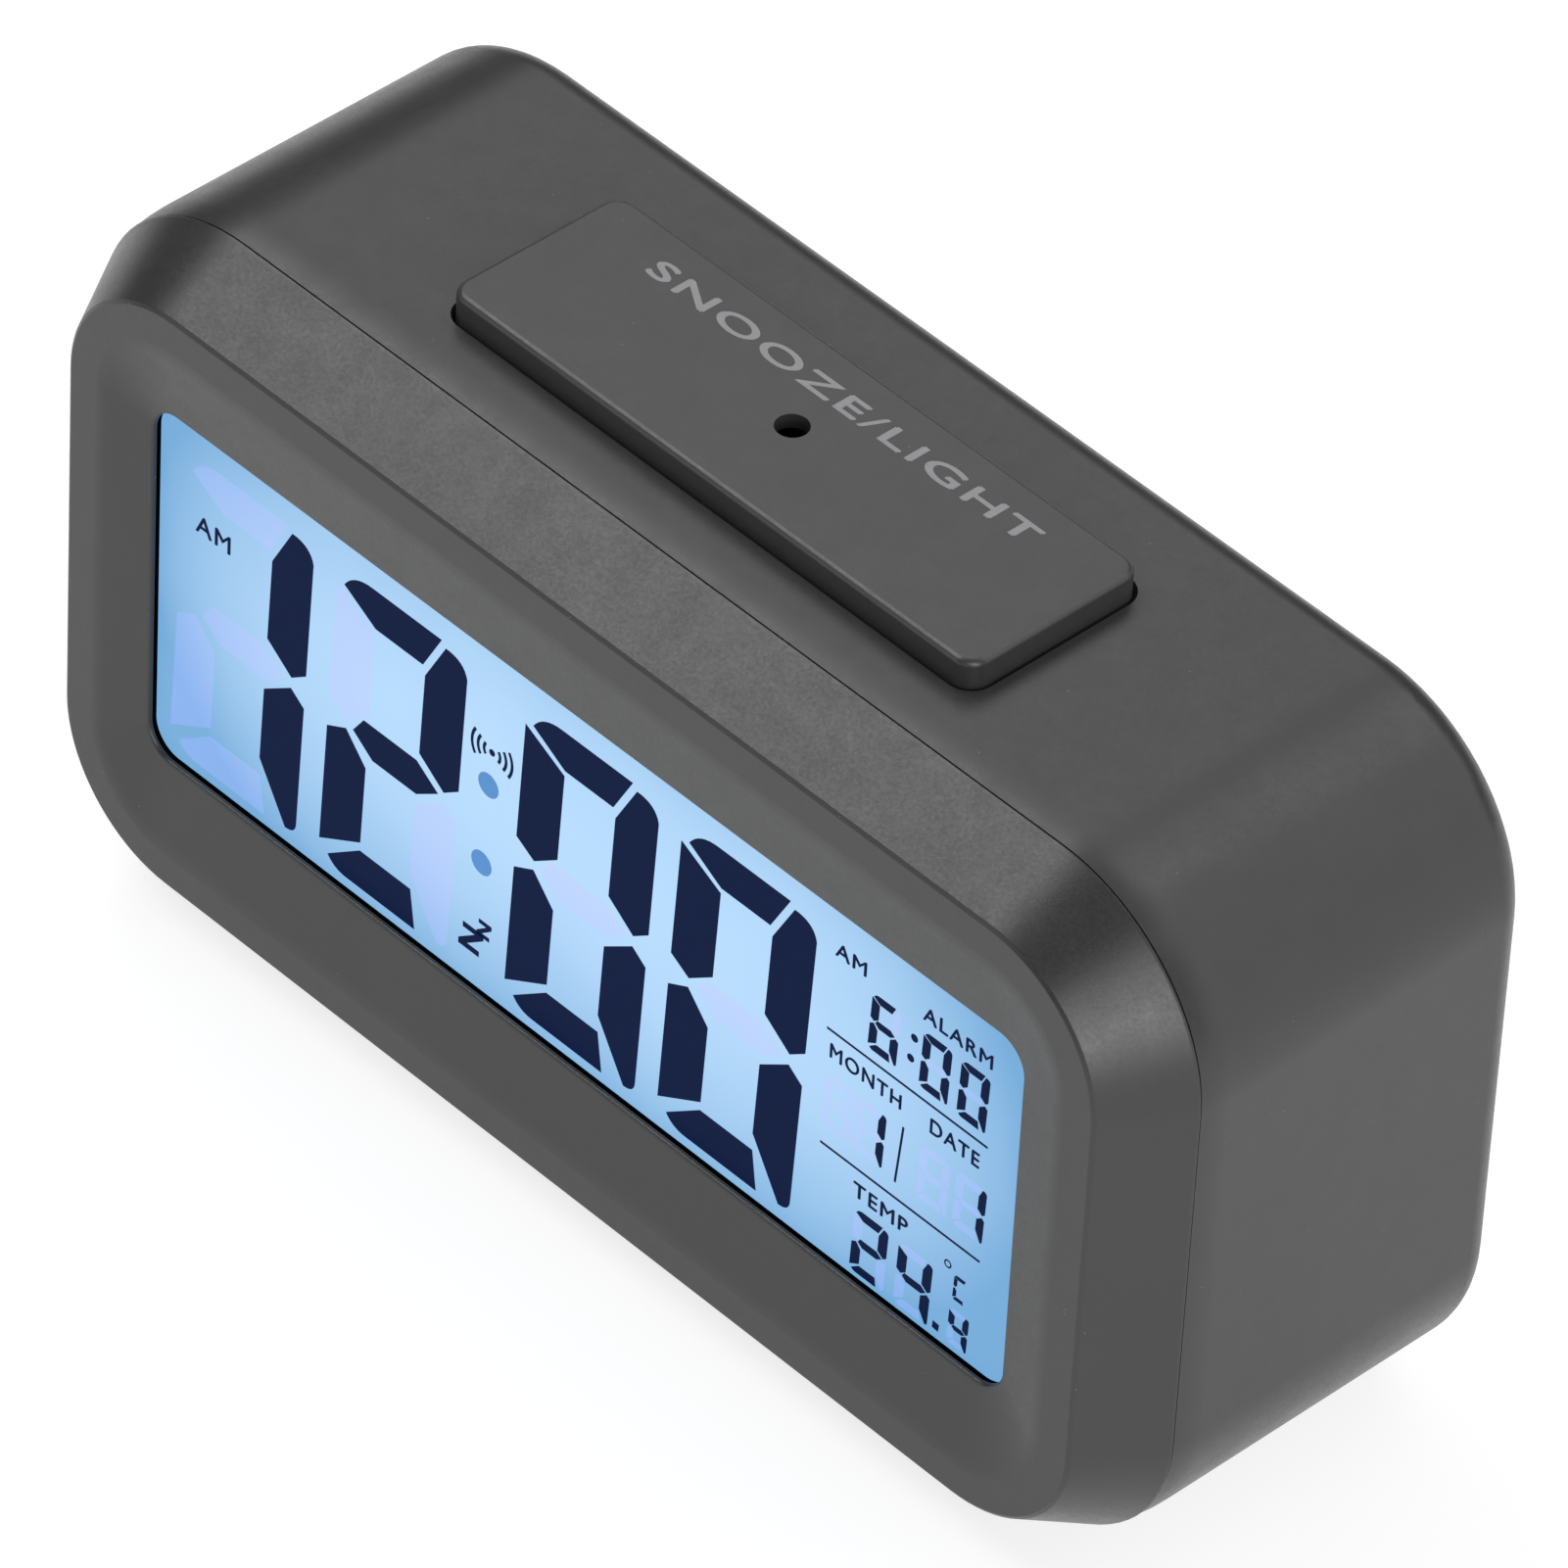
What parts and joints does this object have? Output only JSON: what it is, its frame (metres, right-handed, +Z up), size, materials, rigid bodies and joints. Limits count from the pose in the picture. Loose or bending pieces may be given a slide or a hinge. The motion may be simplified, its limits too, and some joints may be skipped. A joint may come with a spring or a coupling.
{
  "type": "alarm clock",
  "caption": "Battery table alarm clock with a wide backlit display in a sloped bezel, a snooze bar on top, and keys, a slide switch and a battery door at the rear.",
  "frame": {"origin": "centre of the base, on the surface the clock stands on", "axes": "+X to the right of someone facing the display, -Y out of the display, +Z up"},
  "size_m": [0.135, 0.0456, 0.0755],
  "materials": {
    "bezel_plastic": "satin moulded plastic, dark grey",
    "case_plastic": "satin moulded plastic, dark grey",
    "bar_plastic": "satin moulded plastic with printed lettering",
    "door_plastic": "satin moulded plastic",
    "foam": "closed-cell foam",
    "display_film": "anti-glare film, lit from behind",
    "display_glass": "clear",
    "rear_film": "polarising film",
    "white_sheet": "matt white film",
    "clear_acrylic": "clear acrylic",
    "white_plastic": "moulded, white",
    "lamp": "clear resin",
    "contact_rubber": "layered silicone",
    "circuit_board": "green solder mask",
    "black_epoxy": "poured resin",
    "metal_can": "tinned",
    "chip_ceramic": "fired ceramic with tinned ends",
    "capacitor_sleeve": "shrink sleeve",
    "thermistor_bead": "resin bead",
    "screw_steel": "zinc plated",
    "case_screw_steel": "blackened zinc",
    "cell_jacket": "printed shrink jacket",
    "contact_steel": "nickel plated",
    "red_lead": "PVC insulation",
    "black_lead": "PVC insulation",
    "sound_lead": "PVC insulation",
    "yellow_lead": "PVC insulation",
    "sound_brass": "rolled",
    "sound_ceramic": "silvered ceramic",
    "switch_plastic": "moulded nylon",
    "plunger_plastic": "moulded nylon",
    "sensor": "coated sensor face",
    "key_plastic": "satin moulded plastic",
    "switch_steel": "pressed frame",
    "lever_plastic": "moulded",
    "ribbon": "flat insulated ribbon"
  },
  "bodies": {
    "case": {"front_bezel": "bezel_plastic", "display_gasket": "foam", "front_polariser": "display_film", "lcd_front_glass": "display_glass", "lcd_rear_glass": "display_glass", "rear_polariser": "rear_film", "diffuser_sheet": "white_sheet", "light_guide": "clear_acrylic", "reflector_sheet": "white_sheet", "display_tray": "white_plastic", "backlight_lamps": "lamp", "contact_strip": "contact_rubber", "main_board": "circuit_board", "chip_cover": "black_epoxy", "crystal": "metal_can", "surface_parts": "chip_ceramic", "capacitor": "capacitor_sleeve", "thermistor": "thermistor_bead", "board_screws": "screw_steel", "rear_case": "case_plastic", "case_screws": "case_screw_steel", "cell_1": "cell_jacket", "cell_2": "cell_jacket", "cell_3": "cell_jacket", "contact_plates": "contact_steel", "contact_springs": "contact_steel", "positive_lead": "red_lead", "negative_lead": "black_lead", "sound_disc": "sound_brass", "sound_ceramic": "sound_ceramic", "sound_leads": "sound_lead", "snooze_switches": "switch_plastic", "snooze_board": "circuit_board", "light_sensor": "sensor", "snooze_board_screws": "screw_steel", "snooze_leads": "yellow_lead", "key_board": "circuit_board", "key_switches": "switch_plastic", "key_board_screws": "screw_steel", "slide_switch": "switch_steel", "key_ribbon": "ribbon"},
    "snooze": {"snooze_bar": "bar_plastic", "snooze_plungers": "plunger_plastic"},
    "slide_lever": {"slide_lever": "lever_plastic"},
    "battery_door": {"battery_door": "door_plastic"},
    "mode_key": {"mode_key": "key_plastic", "mode_plunger": "plunger_plastic"},
    "set_key": {"set_key": "key_plastic", "set_plunger": "plunger_plastic"},
    "up_key": {"up_key": "key_plastic", "up_plunger": "plunger_plastic"},
    "down_key": {"down_key": "key_plastic", "down_plunger": "plunger_plastic"},
    "alarm_key": {"alarm_key": "key_plastic", "alarm_plunger": "plunger_plastic"}
  },
  "joints": [
    {"name": "snooze_press", "type": "slide", "parent": "case", "child": "snooze", "axis": [0, 0, -1], "range_m": [0, 0.0008], "stiffness_N_per_m": 2500},
    {"name": "slide_switch_move", "type": "slide", "parent": "case", "child": "slide_lever", "axis": [1, 0, 0], "range_m": [0, 0.003]},
    {"name": "battery_door_swing", "type": "hinge", "parent": "case", "child": "battery_door", "pos_m": [0, 0.0219, 0.00855], "axis": [-1, 0, 0], "range_deg": [0, 45]},
    {"name": "mode_key_press", "type": "slide", "parent": "case", "child": "mode_key", "axis": [0, -1, 0], "range_m": [0, 0.0006], "stiffness_N_per_m": 2000},
    {"name": "set_key_press", "type": "slide", "parent": "case", "child": "set_key", "axis": [0, -1, 0], "range_m": [0, 0.0006], "stiffness_N_per_m": 2000},
    {"name": "up_key_press", "type": "slide", "parent": "case", "child": "up_key", "axis": [0, -1, 0], "range_m": [0, 0.0006], "stiffness_N_per_m": 2000},
    {"name": "down_key_press", "type": "slide", "parent": "case", "child": "down_key", "axis": [0, -1, 0], "range_m": [0, 0.0006], "stiffness_N_per_m": 2000},
    {"name": "alarm_key_press", "type": "slide", "parent": "case", "child": "alarm_key", "axis": [0, -1, 0], "range_m": [0, 0.0006], "stiffness_N_per_m": 2000}
  ]
}
